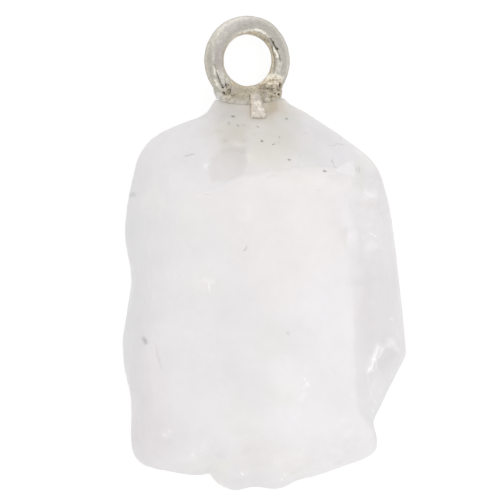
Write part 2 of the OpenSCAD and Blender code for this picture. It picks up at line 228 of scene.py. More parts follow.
# Zones of another tone: middle x, y, half width, half height, lean, softness of the edge, tone
ZONES = (
    (-0.9, 10.60, 2.9, 1.1, 0, 0.9, (0.88, 0.84, 0.77)),      # painted shade and reflection of the metal seen through the stone, under the solder
    (0.42, 10.25, 0.36, 0.80, 0, 0.6, (0.88, 0.85, 0.78)),    # painted shade beside the tongue, brown
    (-2.2, 9.90, 1.4, 0.7, 0, 0.6, (0.955, 0.968, 1.00)),     # grey-green on its other side
    (-2.4, 8.35, 1.5, 0.8, 0, 0.4, (0.975, 0.965, 0.945)),
    (0.1, 10.20, 1.0, 0.9, 0, 0.8, (0.93, 0.90, 0.84)),
    (-0.9, 9.10, 2.6, 2.6, 0, 0.7, (0.882, 0.868, 0.84)),     # grey-brown neck
    (0.5, 8.10, 3.6, 2.2, -18, 0.7, (0.97, 0.965, 0.945)),
    (3.8, 7.50, 3.2, 1.6, -35, 0.6, (0.93, 0.925, 0.94)),     # mauve slope on its right
    (-2.1, 9.20, 1.4, 0.6, 0, 0.5, (0.975, 0.98, 0.965)),     # greenish and tan parts of the neck
    (0.6, 7.50, 1.6, 1.4, 0, 0.5, (0.995, 0.985, 0.955)),
    (1.9, 9.40, 0.8, 0.6, 0, 0.4, (0.975, 0.988, 0.955)),
    (3.1, 8.20, 0.7, 0.6, 0, 0.5, (1.01, 1.0, 1.01)),
    (-0.5, 7.45, 1.2, 1.3, 0, 0.6, (1.045, 1.045, 1.065)),
    (2.9, 6.45, 2.4, 1.2, -20, 0.6, (0.975, 0.98, 0.972)),
    (5.6, 3.20, 0.9, 1.9, 0, 0.6, (0.98, 0.975, 0.982)),
    (-9.7, -3.00, 1.3, 14.0, 0, 0.8, (0.96, 0.962, 0.965)),   # painted shade along the left edge, grey
    (6.85, -5.40, 0.75, 4.6, 0, 0.6, (0.983, 0.976, 0.981)),   # shade beside the ridge
    (8.6, 6.10, 0.8, 1.6, 30, 0.6, (0.965, 0.955, 0.965)),
    (4.2, -4.80, 1.6, 3.6, 0, 0.6, (1.015, 1.010, 1.020)),
    (-7.2, -12.6, 2.4, 1.6, 0, 0.6, (0.98, 0.975, 0.98)),
    (-2.0, -16.0, 9.5, 4.2, 0, 0.6, (1.03, 1.025, 1.03)),     # lighter underside
    (1.4, -11.8, 1.3, 1.2, 0, 0.7, (1.02, 1.02, 1.03)),
    (-2.8, -15.1, 0.45, 0.7, 0, 0.5, (1.0, 1.005, 0.975)),    # greenish corner of the lobe
    (2.5, -14.9, 1.2, 0.8, 30, 0.6, (0.995, 0.995, 0.97)),
    (-3.0, -14.0, 0.35, 0.30, 0, 0.6, 0.955),
    (-1.35, -13.8, 0.40, 0.30, 0, 0.6, (0.97, 0.965, 0.97)),
    (-0.3, -13.0, 0.9, 1.4, 0, 0.6, (0.995, 0.996, 0.984)),
    (5.1, -13.8, 0.40, 0.30, 0, 0.5, (1.03, 1.03, 1.035)),
    (5.8, -12.6, 0.45, 0.25, 0, 0.5, (1.03, 1.03, 1.028)),
    (6.22, -9.80, 0.24, 0.26, 0, 0.5, (1.035, 1.03, 1.035)),
    (7.56, -3.39, 0.25, 0.20, 0, 0.6, (1.03, 1.03, 1.035)),
    (5.2, -14.6, 0.45, 0.18, 15, 0.5, (0.965, 0.96, 0.965)),
    (-6.85, -12.6, 0.40, 0.35, 0, 0.5, (1.025, 1.02, 1.03)),
    (-4.95, -14.1, 0.35, 0.40, 0, 0.5, (1.03, 1.025, 1.03)),
    (-4.26, -13.3, 0.25, 0.45, 0, 0.5, (1.03, 1.026, 1.03)),
    (-1.6, -11.6, 1.1, 1.6, 15, 0.6, (1.0, 1.005, 0.982)),    # yellowish veils
    (-0.2, -14.3, 2.4, 0.9, 0, 0.6, (1.0, 1.0, 0.98)),
    (-4.0, -15.4, 1.2, 1.2, 0, 0.6, (1.0, 1.005, 0.98)),
    (1.2, -10.0, 1.2, 0.9, 0, 0.7, (1.0, 1.0, 0.985)),
    (0.5, -6.10, 1.0, 1.0, 0, 0.7, (0.985, 0.99, 0.965)),
    (-4.2, -2.30, 1.0, 0.8, 0, 0.7, (1.01, 1.01, 0.985)),
    (-4.9, 2.70, 0.9, 1.6, 0, 0.5, (1.02, 1.02, 1.0)),
    (-7.7, 3.40, 0.7, 1.0, 0, 0.4, (1.025, 1.025, 1.015)),
    (-8.0, -10.5, 1.2, 5.0, 0, 0.6, (0.985, 0.97, 0.978)),    # mauve lower left
    (1.7, -8.50, 1.5, 1.4, 0, 0.6, (1.03, 1.03, 1.035)),      # bright cloud low on the front
    (-0.6, 6.85, 0.7, 0.5, 0, 0.5, (1.02, 1.02, 0.99)),
    (6.31, 0.97, 0.35, 0.6, 0, 0.4, (1.05, 1.042, 1.055)),
    (7.36, 0.49, 0.40, 0.42, 0, 0.4, (1.05, 1.045, 1.052)),
    (6.43, 4.27, 0.25, 0.45, 0, 0.6, (1.01, 1.01, 1.0)),
    (6.50, 7.20, 0.35, 0.25, 0, 0.6, 1.04),
    (6.6, -1.40, 0.35, 0.35, 0, 0.7, 1.025),
    (7.3, 3.80, 1.0, 0.45, 0, 0.4, 1.02),
    (7.05, 4.10, 0.28, 0.34, 0, 0.3, (1.06, 1.055, 1.06)),    # bright pieces on the shoulder
    (7.62, 4.12, 0.30, 0.34, 0, 0.3, (1.055, 1.05, 1.055)),
    (6.52, 7.20, 0.20, 0.16, -30, 0.4, 1.03),
    (7.00, 6.55, 0.42, 0.65, 20, 0.5, (1.02, 1.018, 0.995)),
    (7.90, 5.20, 0.50, 0.60, 0, 0.4, (0.97, 0.96, 0.975)),
    (8.30, 3.50, 0.42, 1.40, 8, 0.4, (0.965, 0.96, 0.972)),
    (7.50, 3.40, 0.90, 0.40, 0, 0.5, (0.985, 0.978, 0.965)),
    (8.00, -3.60, 1.50, 4.20, 0, 0.5, (0.955, 0.948, 0.954)),   # mauve facet
    (8.95, -7.20, 1.00, 1.30, -20, 0.7, (0.945, 0.94, 0.945)),  # faces of the chip
    (7.75, -9.30, 0.45, 0.60, 0, 0.5, (1.03, 1.025, 1.03)),
    (8.20, -8.60, 0.35, 0.30, 0, 0.6, (1.02, 1.01, 1.02)),
)

# The edge between the front face and the facet on its right: x, y from the top down
FACET = ((6.20, 6.40), (6.30, 4.00), (5.90, 1.50), (5.83, -0.10), (5.83, -2.20), (6.20, -4.50),
         (6.25, -8.00), (6.40, -10.5), (7.60, -12.5))

# Plates of another tone: corners going round to the left, softness of the edge, tone
PLATES = (
    (((5.4, 5.6), (1.0, 5.1), (-2.6, 4.6), (-4.3, 4.0), (-3.2, 1.6), (0.3, -4.7), (5.9, 0.4)),
     0.5, (1.012, 0.997, 0.995)),                             # rosy upper front
    (((5.2, 6.0), (1.2, 5.9), (-1.6, 5.4), (-1.8, 4.3), (3.2, 4.3)),
     0.45, (1.02, 1.014, 1.0)),                               # creamy band along its top
    (((5.9, 0.4), (6.3, -4.0), (6.4, -11.5), (-1.0, -12.0), (-1.8, -4.0), (0.3, -4.7)),
     0.9, (1.018, 1.012, 1.022)),                             # lower front
    (((-3.62, 4.98), (-2.27, 5.13), (-1.46, 5.58), (-1.22, 6.38), (-1.27, 7.38), (-2.96, 7.28),
      (-3.72, 6.68), (-3.93, 5.68)), 0.18, (0.945, 0.93, 0.918)),    # brown-grey veil
    (((-2.86, 7.05), (-1.41, 7.05), (-1.36, 8.78), (-3.37, 8.68), (-3.26, 7.88)),
     0.20, (0.96, 0.95, 0.93)),
    (((5.4, 3.9), (4.25, 3.9), (4.9, 1.0), (5.4, 0.5)), 0.25, 0.985),
    (((4.89, 5.79), (5.09, 5.55), (6.25, 5.35), (6.20, 6.36), (5.64, 6.22)), 0.08,
     1.06),                                     # white end of the front face
    (((4.75, 5.30), (4.70, 4.20), (5.80, 4.10), (6.20, 5.30)), 0.25, (1.02, 1.02, 1.00)),
    (((9.45, -6.95), (9.10, -6.00), (8.45, -5.85), (8.25, -6.50)), 0.10,
     (1.045, 1.04, 1.043)),                                   # pale feather over the chip
    (((5.85, -2.2), (5.85, -4.0), (6.30, -4.6), (6.75, -3.8), (6.75, -2.3)), 0.15,
     (1.03, 1.025, 1.03)),
    (((5.9, 1.9), (5.2, 1.8), (5.65, 0.1)), 0.15, (0.955, 0.965, 0.945)),
    (((7.1, 6.4), (6.2, 6.1), (6.3, 4.4), (7.0, 4.4)), 0.2, (0.975, 0.985, 0.965)),
    (((-0.87, 3.45), (-1.35, 3.45), (-1.35, 2.3), (-0.87, 2.3)), 0.12, (1.022, 1.018, 1.015)),
    (((-1.2, 2.65), (-2.05, 2.6), (-2.0, 2.28), (-1.2, 2.28)), 0.10, (1.022, 1.018, 1.015)),
)

# Dark specks and scratches: from x, y to x, y, half width, tone
SPECKS = (
    (-2.25, 9.56, -2.15, 9.52, 0.10, 0.54),
    (-1.90, 8.93, -1.80, 8.90, 0.09, 0.48),
    (-1.56, 8.92, -1.44, 8.90, 0.07, 0.84),
    (-2.50, 9.10, -2.45, 9.02, 0.09, 0.84),
    (-0.56, 8.78, -0.36, 8.76, 0.07, 0.62),
    (-0.20, 7.82, -0.12, 7.78, 0.10, 0.46),
    (0.56, 7.58, 0.62, 7.56, 0.08, 0.46),
    (1.00, 8.10, 1.05, 8.03, 0.07, 0.76),
    (0.95, 7.72, 1.02, 7.70, 0.06, 0.84),
    (1.48, 9.42, 1.54, 9.36, 0.08, 0.70),
    (1.67, 6.54, 1.73, 6.50, 0.08, 0.52),
    (2.88, 8.36, 2.94, 8.33, 0.06, 0.80),
    (4.12, 5.72, 4.22, 5.70, 0.09, 0.48),
    (5.30, 8.12, 5.38, 8.02, 0.05, 0.88),
    (6.38, 5.98, 6.44, 5.72, 0.05, 0.88),
    (6.58, 5.98, 6.62, 5.68, 0.06, 0.82),
    (7.56, -7.90, 7.60, -7.98, 0.05, 0.86),
    (7.42, -10.92, 7.44, -11.02, 0.05, 0.88),
    (4.78, -8.30, 4.86, -8.34, 0.08, 0.94),
    (-2.83, 7.83, -2.68, 7.83, 0.15, 0.93),
    (-1.45, 7.90, -1.20, 7.96, 0.16, 0.95),
    (-5.55, 6.76, -4.90, 6.88, 0.10, 0.84),
    (-3.95, 6.05, -3.85, 5.95, 0.07, 0.90),
    (-1.38, 0.22, -1.22, 0.52, 0.10, 0.80),
    (-8.42, -5.98, -8.28, -6.20, 0.14, 0.66),
    (-7.60, -6.42, -7.20, -8.00, 0.10, 0.91),
    (-9.55, 4.10, -9.15, 4.10, 0.16, 0.80),
    (1.60, -5.50, 1.68, -5.68, 0.10, 0.90),
    (0.15, 5.30, 0.75, 5.42, 0.05, 0.90),
    (-4.30, 4.05, -3.70, 4.12, 0.05, 0.90),
    (3.60, 4.30, 3.90, 4.45, 0.06, 0.93),
    (7.10, -11.30, 7.60, -11.75, 0.08, 0.92),
)

# Fine curved cracks: points along them, half width, tone
CURVED = (
    (((4.43, 7.52), (4.90, 7.52), (5.09, 7.64), (5.35, 7.62), (5.52, 7.50)), 0.06, 0.90),
    (((4.74, 6.69), (4.70, 6.41), (4.82, 6.14), (5.01, 5.95)), 0.06, 0.88),
    (((-1.0, 8.2), (-0.4, 8.35), (0.3, 8.2)), 0.05, 0.94),
    (((1.9, 7.4), (2.4, 7.0), (2.5, 6.6)), 0.05, 0.94),
)

# The ridge that shows white at the right end of the front face's top edge, and more flecks
ROOF = (
    (((4.95, 5.72), (5.64, 6.24), (6.12, 6.38)), 0.09, 1.05),
    (((6.14, 6.32), (6.27, 5.52)), 0.06, 1.06),
    (((4.60, 5.60), (4.85, 5.50)), 0.08, 1.06),
    (((-4.6, 4.00), (-4.0, 4.20)), 0.10, 1.04),
    (((7.45, 2.98), (8.10, 3.00)), 0.06, 1.06),
    (((6.90, -0.24), (7.30, -0.22)), 0.06, 1.05),
    (((7.12, -11.30), (7.60, -11.70)), 0.05, 1.06),
)

# Bright flecks where a crack inside throws the light back: the same columns as SPECKS
FLECKS = (
    (-4.15, 6.13, -4.02, 6.10, 0.13, 1.12),
    (7.20, 4.25, 7.60, 4.05, 0.10, 1.05),
    (4.90, 7.40, 4.98, 7.40, 0.07, 1.08),
    (5.22, 8.02, 5.26, 7.98, 0.06, 1.10),
    (7.30, 1.40, 7.78, 1.18, 0.11, 1.12),
    (6.25, 1.50, 6.40, 1.10, 0.20, 1.03),
    (6.82, 1.30, 6.84, 1.05, 0.08, 1.06),
    (-3.88, -2.05, -3.80, -2.62, 0.10, 1.13),
    (-4.20, -1.85, -3.60, -2.00, 0.16, 1.05),
    (2.72, -8.62, 2.92, -9.00, 0.08, 1.08),
    (2.95, -9.10, 2.70, -9.35, 0.08, 1.07),
    (2.45, -10.1, 2.75, -9.85, 0.14, 1.045),
    (2.98, -9.02, 3.05, -9.15, 0.118, 1.14),
    (8.80, -4.58, 8.88, -4.60, 0.10, 1.14),
    (-7.05, -12.60, -6.80, -12.72, 0.10, 1.07),
    (-6.62, -12.30, -6.50, -12.45, 0.09, 1.08),
    (-5.08, -14.02, -4.90, -14.10, 0.09, 1.09),
    (-1.58, -15.38, -1.52, -15.40, 0.09, 1.18),
    (1.20, -15.70, 1.22, -15.78, 0.08, 1.16),
    (1.40, -15.42, 1.44, -15.48, 0.08, 1.12),
    (7.55, -10.92, 7.57, -11.00, 0.08, 1.14),
    (5.55, 4.60, 6.00, 5.00, 0.10, 1.03),
    (-1.20, 6.78, -1.02, 6.60, 0.20, 1.06),
    (-2.00, 7.65, -1.80, 7.55, 0.20, 1.08),
    (2.55, 6.15, 2.61, 6.11, 0.07, 1.07),
    (4.36, 5.86, 4.40, 5.86, 0.06, 1.07),
)

# White cracks on the faces of the chip: points along them, half width, tone
CHIP_CRACKS = (
    (((7.85, -6.50), (7.74, -6.90), (7.62, -7.24)), 0.11, 1.10),
    (((7.62, -7.24), (7.50, -7.70), (7.15, -8.29)), 0.11, 1.12),
    (((8.20, -6.65), (7.97, -7.24)), 0.10, 1.07),
    (((7.62, -7.24), (7.80, -7.60), (7.76, -8.05), (7.50, -8.15), (7.42, -7.85)), 0.07, 1.09),
    (((7.40, -7.30), (7.70, -7.34)), 0.06, 1.07),
    (((8.16, -7.38), (8.24, -7.32)), 0.09, 1.07),
    (((7.86, -6.50), (7.60, -7.30), (7.30, -8.10)), 0.24, 1.085),
    (((8.15, -6.70), (7.85, -7.30)), 0.16, 1.03),
    (((8.10, -6.60), (8.60, -6.42), (8.90, -6.15)), 0.16, 1.045),
    (((8.65, -6.00), (9.00, -6.35), (9.35, -6.85)), 0.14, 1.05),
    (((7.15, -8.29), (7.21, -8.87), (7.35, -9.50)), 0.08, 1.03),
    (((7.35, -9.50), (7.50, -10.04), (7.91, -10.68)), 0.08, 1.06),
)

# The material draws the marks that are narrower than FINE and further than FAINT from a tone of
# 1, as the mesh is too coarse for them
FINE = 0.12
FAINT = 0.055


def mark_rows(fine):
    """Each straight stretch of the fine or the wide marks, with its half width and tone."""
    rows = [((ax, ay), (bx, by), half, tone) for ax, ay, bx, by, half, tone in SPECKS + FLECKS]
    for path, half, tone in CURVED + ROOF + CHIP_CRACKS:
        rows += [(a, b, half, tone) for a, b in zip(path, path[1:])]
    return [row for row in rows if (row[2] < FINE and abs(row[3] - 1) > FAINT) == fine]


def off_path(x, y, path):
    """Distance in the front view from each point to a path of straights."""
    near = np.full(len(x), 1e9)
    for (ax, ay), (bx, by) in zip(path, path[1:]):
        dx, dy = bx - ax, by - ay
        share = np.clip(((x - ax) * dx + (y - ay) * dy) / (dx * dx + dy * dy), 0, 1)
        near = np.minimum(near, np.hypot(x - ax - share * dx, y - ay - share * dy))
    return near


def off_middle(x, y, row):
    """Distance from a zone's middle, 1 at its edge."""
    cos, sin = math.cos(math.radians(row[4])), math.sin(math.radians(row[4]))
    u = (x - row[0]) * cos + (y - row[1]) * sin
    v = (y - row[1]) * cos - (x - row[0]) * sin
    return np.hypot(u / row[2], v / row[3])


def within(x, y, corners):
    """How far inside a plate each point lies, below 0 outside it."""
    deep = np.full(len(x), 1e9)
    for (ax, ay), (bx, by) in zip(corners, corners[1:] + corners[:1]):
        across = (bx - ax) * (y - ay) - (by - ay) * (x - ax)
        deep = np.minimum(deep, across / math.hypot(bx - ax, by - ay))
    return deep


# The stone's relief, with heights in millimetres

# The broken edge along the top of the front face: points along it, and how proud it stands
FRONT_STEP = ((-4.6, 4.15), (-3.6, 4.55), (-2.4, 5.10), (-1.2, 5.45), (0.6, 5.75),
              (2.6, 5.95), (4.2, 6.05), (5.0, 5.80), (5.8, 6.40))
STEP_HIGH = 0.10

# Flat chips like broken cleavage: their size, how they lean in radians, where their pattern
# starts, and how much they are lifted, so that about half of them stands out of the skin
CHIP_SIZE = 1.5
CHIP_LEAN = (5.5, 0.3, 0.8)
CHIP_START = Vector((14.5, 21.5, 8.5))
CHIP_RISE = 0.9

# How much of the chips shows everywhere, and how much more where the skin is broken
CHIPS = 0.02
BROKEN_CHIPS = 0.12

# Where the skin is broken: middle x, y, half width, half height, lean, strength
BROKEN = (
    (7.4, 2.8, 1.9, 4.4, 0, 1.0),      # right shoulder
    (8.3, -8.8, 1.7, 2.8, 0, 0.9),     # faces of the chip
)

# How broken the lobes at the bottom are, and between which places along y that fades out
LOBES_BROKEN = 0.5
LOBE_TOPS = (-14.4, -11.8)

# How high the skin's waves are, from long to short, and its flecks, specks and white cracks
LONG_WAVES = 0.014
WAVES = 0.010
SHORT_WAVES = 0.004
FLECK_HIGH = 0.02
SPECK_DEEP = 0.03
CRACK_HIGH = 0.05

# The skin is plain where the ring's foot sits, except for a soft lip along its edge
SEAT_Y = (9.9, 10.2)
SEAT_X = -1.2
SEAT_HALF = (2.5, 2.9)
SEAT_LIP = 0.07

# The flat back is the frame's own up to the first height, and above the second the relief is
# whole
BACK = (0.15, 0.8)


def chips(at):
    """The chips' shape: 0 in their middles and lowest where they meet."""
    turn = Euler(CHIP_LEAN).to_matrix() * (1 / CHIP_SIZE)
    return np.array([
        -noise.voronoi(turn @ Vector(p) + CHIP_START, distance_metric="MANHATTAN")[0][0]
        for p in at]) * CHIP_SIZE


def front_step(x, y, shake):
    """The broken edge along the top of the front face, which stands a little proud."""
    below = along(x, FRONT_STEP) + 0.10 * shake - y
    ends = step(x, -5.6, -4.4) * (1 - step(x, 5.6, 6.1))
    return STEP_HIGH * step(below, -0.08, 0.12) * (1 - step(below, 1.0, 6.0)) * ends


def edge_of(out, way):
    """1 where a surface turns from the front to up (way 1) or down (way -1), 0 elsewhere."""
    return 2 * np.clip(out[:, 2], 0, 1) * np.clip(way * out[:, 1], 0, 1)


def stone_relief(at, out):
    """How far each point of the stone's skin stands out of the frame's shape."""
    x, y, z = at.T
    front = step(out[:, 2], 0.1, 0.6)
    shake = ripple(at, 0.9, 11)
    broken = LOBES_BROKEN * (1 - step(y + 0.6 * shake, *LOBE_TOPS))
    for row in BROKEN:
        broken = np.maximum(broken, row[5] * (1 - step(off_middle(x, y, row), 0.7, 1.1)))
    broken *= step(out[:, 2], 0.10, 0.55)
    high = LONG_WAVES * ripple(at, 2.4, 1) + WAVES * shake + SHORT_WAVES * ripple(at, 0.4, 3, 2)
    high += (CHIPS + BROKEN_CHIPS * broken) * (chips(at) + CHIP_RISE)
    high += front * front_step(x, y, shake)
    for ax, ay, bx, by, half, _ in FLECKS:
        near = off_path(x, y, ((ax, ay), (bx, by))) / (1.4 * half)
        high += front * FLECK_HIGH * np.clip(1 - near, 0, 1)
    for ax, ay, bx, by, half, _ in SPECKS:
        near = off_path(x, y, ((ax, ay), (bx, by))) / (1.2 * half)
        high -= front * SPECK_DEEP * np.clip(1 - near * near, 0, 1)
    for line, half, _ in CHIP_CRACKS:
        near = off_path(x, y, line) / (1.3 * half)
        high += front * CRACK_HIGH * np.clip(1 - near, 0, 1)
    seat = step(y, *SEAT_Y) * (1 - step(np.abs(x - SEAT_X), *SEAT_HALF))
    high = high * (1 - seat) + seat * SEAT_LIP * edge_of(out, 1)
    return high * step(z, *BACK)


# The marks fade out down the sides, between these heights, and their edges wander by this much
MARKS_FADE = (3.0, 6.5)
WANDER = 0.30

# Tones of the facet, which is painted shade where it turns away, of the right of the stone, and
# of the right of the front face, which is painted light
FACET_SHADE = 0.984
RIGHT_TONE = 1.03
FACE_LIGHT = (1.04, 1.04, 1.042)


def stone_tones(at):
    """The tone of each point of the stone."""
    x, y, z = at.T
    off_x = WANDER * ripple(at, 1.6, 21)
    off_y = WANDER * ripple(at, 1.6, 22)
    front = step(z, *MARKS_FADE)
    tone = np.ones((len(at), 3))
    for row in ZONES:
        mask = 1 - step(off_middle(x + off_x, y + off_y, row), 1 - row[5], 1 + row[5])
        wash(tone, front * mask, row[6])
    for corners, soft, shade in PLATES:
        deep = within(x + 0.5 * off_x, y + 0.5 * off_y, corners)
        wash(tone, front * step(deep, -soft, soft), shade)
    for a, b, half, shade in mark_rows(False):
        near = off_path(x + 0.2 * off_x, y + 0.2 * off_y, (a, b)) / half
        wash(tone, front * bell(near), shade)
    edge = along(-(y + off_y), [(-p[1], p[0]) for p in FACET])
    soft = 0.12 + 0.35 * step(y, -4.5, -3.0)
    face = 1 - step((x - 0.5 * off_x - edge) / soft, -1, 1)
    upper_right = step(x, -1.0, 5.0) * (1 - step(y, 5.4, 8.5))
    # Painted shade on the facet where it turns away, and painted light on the upper right of the
    # front face
    wash(tone, front * (1 - face), FACET_SHADE)
    wash(tone, front * step(x, -9.0, 4.5), RIGHT_TONE)
    wash(tone, front * face * upper_right, FACE_LIGHT)
    return tone


# Marks on the ring

# The ring's eye, as the frame's record gives it, the middle line of its wire, and the wire
EYE_MOUNT = next(mount for mount in frame["record"]["mounts"] if mount["name"] == "eye")
EYE = np.array(EYE_MOUNT["pos_m"]) / MM
EYE_AXIS = np.array(EYE_MOUNT["axis"])
RING_R = 2.45
WIRE_R = 0.68

# The rim of the solder round the eye gets a painted highlight at this distance from the eye's
# middle
RIM_R = 1.92

# Where the granular solder ends on the wire, and where its lumps give way to the rim of the foot
SOLDER_TOP = ((-4.0, 9.0), (-3.2, 10.6), (-2.9, 11.3), (-2.3, 12.1), (-0.6, 11.7), (0.2, 12.3),
              (0.7, 12.5), (1.1, 12.35), (1.4, 11.4), (1.7, 10.6))
FOOT_TOP = ((-3.4, 11.15), (-2.8, 11.0), (-2.2, 10.75), (0.5, 10.75), (1.2, 10.85))

# The tongue's left and right edges, and the edge of the painted shade along the rim on its left,
# at three heights
TONGUE_Y = (9.3, 10.0, 11.0)
TONGUE_LEFT = (-1.12, -1.10, -1.00)
TONGUE_RIGHT = (0.19, 0.04, -0.33)
TONGUE_SHADE = (-0.98, -0.94, -0.88)

# Where the tongue's frost fades in at its lower end, out at its top, and in above the stone
TONGUE_END = (9.2, 9.3)
TONGUE_TOP = (10.9, 11.25)
TONGUE_Z = (6.2, 6.6)

# Between these places along y the foot gives way to the wire, and the painted glow of the seam
# under it fades out
FOOT_Y = (10.7, 11.0)
SEAM_Y = (10.8, 11.0)

# Creases in the wire and ridges that glint: points along them, half width, how far they stand
# out, and tone, which is painted shade on the dark creases and a painted highlight on the bright
# ridges
CREASES = (
    (((-3.62, 13.14), (-3.42, 13.12)), 0.035, -0.02, 0.60),   # left of the eye
    (((-3.41, 13.05), (-3.37, 12.74), (-3.29, 12.48)), 0.040, -0.05, 0.50),
    (((-3.29, 12.48), (-3.17, 12.13), (-3.06, 11.82), (-2.93, 11.56)), 0.050, -0.06, 0.30),
    (((-3.49, 12.95), (-3.48, 12.50)), 0.080, 0.03, 1.45),
    (((-3.43, 12.12), (-3.32, 11.80)), 0.085, 0.03, 1.55),
    (((-3.32, 11.80), (-3.12, 11.52), (-2.92, 11.40)), 0.070, 0.03, 1.35),
    (((-3.31, 12.80), (-3.21, 12.60), (-3.14, 12.40)), 0.035, 0.02, 1.50),
    (((-3.00, 12.50), (-2.80, 12.05)), 0.140, 0.01, 1.16),
    (((-2.73, 12.39), (-2.79, 12.13), (-2.72, 11.87)), 0.030, -0.02, 0.60),
    (((-2.55, 12.15), (-2.35, 11.90)), 0.030, -0.02, 0.65),
    (((-2.62, 12.22), (-2.45, 11.98)), 0.030, 0.02, 1.40),
    (((-1.80, 15.26), (-1.20, 15.40), (-0.70, 15.38)), 0.030, -0.01, 0.80),    # top
    (((-2.25, 15.18), (-1.71, 15.50)), 0.100, 0.01, 1.15),
    (((-3.16, 15.56), (-2.58, 16.02), (-1.91, 16.31), (-1.35, 16.42)), 0.140, 0.01, 1.12),
    (((-1.80, 15.38), (-1.40, 15.52)), 0.070, 0.02, 1.30),
    (((-1.40, 15.52), (-1.20, 15.57), (-0.90, 15.60)), 0.080, 0.02, 1.50),
    (((-0.90, 15.60), (-0.63, 15.63)), 0.060, 0.02, 1.55),
    (((-0.63, 15.63), (-0.31, 15.57)), 0.080, 0.03, 1.95),
    (((-0.31, 15.57), (0.00, 15.38)), 0.070, 0.03, 1.80),
    (((0.05, 15.42), (0.28, 15.28), (0.45, 15.10)), 0.050, 0.02, 1.28),
    (((-0.02, 15.02), (0.15, 14.89), (0.28, 14.72)), 0.050, -0.02, 0.70),
    (((0.00, 15.40), (0.26, 15.13)), 0.050, 0.02, 1.50),
    (((-0.75, 15.46), (-0.25, 15.28), (0.10, 14.98), (0.33, 14.62)), 0.090, 0.01, 1.30),
    (((-0.60, 15.30), (-0.20, 15.12), (0.12, 14.80)), 0.045, -0.01, 0.80),
    (((0.46, 15.00), (0.60, 14.76)), 0.045, -0.06, 0.25),     # right of the eye
    (((0.60, 14.76), (0.72, 14.48), (0.86, 14.32)), 0.060, -0.07, 0.12),
    (((0.88, 14.30), (0.99, 14.01), (1.05, 13.70), (1.08, 13.50)), 0.035, -0.04, 0.40),
    (((0.64, 14.40), (0.78, 14.16)), 0.055, 0.03, 1.75),
    (((0.78, 14.16), (0.90, 13.98), (0.92, 13.76)), 0.065, 0.03, 2.00),
    (((0.90, 13.55), (0.90, 13.06), (0.80, 12.60)), 0.080, 0.02, 1.12),
    (((0.50, 14.46), (0.62, 14.00), (0.71, 13.50)), 0.032, -0.03, 0.50),
    (((0.71, 13.50), (0.70, 13.06), (0.64, 12.55)), 0.032, -0.03, 0.55),
    (((0.56, 14.00), (0.62, 13.50), (0.60, 13.00)), 0.040, 0.01, 1.25),
    (((1.67, 13.35), (1.70, 13.24)), 0.035, -0.02, 0.55),
    (((-3.85, 13.90), (-3.80, 13.40)), 0.040, -0.01, 0.90),
    (((-2.30, 12.62), (-2.60, 13.10), (-2.72, 13.60)), 0.030, -0.01, 0.85),
    (((0.30, 12.28), (0.75, 12.46), (1.15, 12.28)), 0.160, 0.04, 1.45),    # solder
    (((0.40, 11.92), (0.88, 11.88)), 0.090, 0.02, 1.40),
    (((-0.10, 11.82), (0.40, 12.10), (1.10, 12.16)), 0.035, -0.03, 0.55),
    (((-0.30, 12.00), (0.20, 12.30), (0.60, 12.66)), 0.050, 0.02, 1.25),
    (((-0.10, 12.02), (0.30, 12.20)), 0.030, -0.02, 0.70),
    (((0.30, 11.10), (0.80, 10.95)), 0.050, -0.01, 0.80),
    (((-0.95, 11.78), (-0.60, 11.50), (-0.58, 11.25)), 0.100, 0.01, 1.18),
)

# Pits in the solder: middle x, y, half width, half height, lean and depth
PITS = (
    (1.08, 11.79, 0.08, 0.12, 0, 0.24),
    (1.05, 11.12, 0.07, 0.07, 30, 0.16),
    (0.48, 11.72, 0.06, 0.05, 20, 0.12),
    (0.20, 11.54, 0.06, 0.05, 0, 0.10),
    (0.55, 11.44, 0.05, 0.05, 0, 0.10),
    (0.83, 11.66, 0.05, 0.06, 0, 0.10),
    (0.35, 11.38, 0.05, 0.03, 0, 0.08),
    (0.96, 11.47, 0.05, 0.04, 0, 0.08),
    (0.70, 11.20, 0.06, 0.03, 20, 0.06),
    (-2.91, 11.75, 0.04, 0.07, 30, 0.12),
    (-2.67, 11.74, 0.05, 0.10, -8, 0.14),
    (-2.49, 11.78, 0.05, 0.09, -10, 0.12),
    (-2.79, 11.60, 0.04, 0.05, 0, 0.08),
    (-2.64, 11.58, 0.04, 0.05, 0, 0.08),
    (-2.92, 11.54, 0.05, 0.05, 0, 0.10),
    (-2.84, 11.24, 0.09, 0.05, -30, 0.12),
    (-2.40, 11.36, 0.04, 0.14, 2, 0.08),
)


# Sizes of the solder's lumps and of the tongue's grains, and how far the noise of one seed lies
# from that of the next
LUMP = 0.23
GRAIN = 0.13
CELL_STRIDE = (3.17, 5.91, 2.43)

# The lumps lie on both sides of this x, and begin between these distances from it
LUMPS_X = -1.30
LUMPS_OFF = (0.75, 1.15)

# These turn the place of a lump into a number of its own
OWN_TURN = (12.99, 78.23, 37.72)
OWN_SCALE = 437.58

# The ring's relief, in millimetres: dents of the wire from long to short, lumps of the solder,
# grains of the tongue, the lip under the foot, and how much the wire is worn on its right
DENTS = 0.022
SHORT_DENTS = 0.014
FINE_DENTS = 0.004
LUMP_HIGH = 0.12
LUMP_ROUGH = 0.06
GRAIN_HIGH = 0.10
GRAIN_ROUGH = 0.03
FOOT_LIP = 0.05
WORN = 0.08
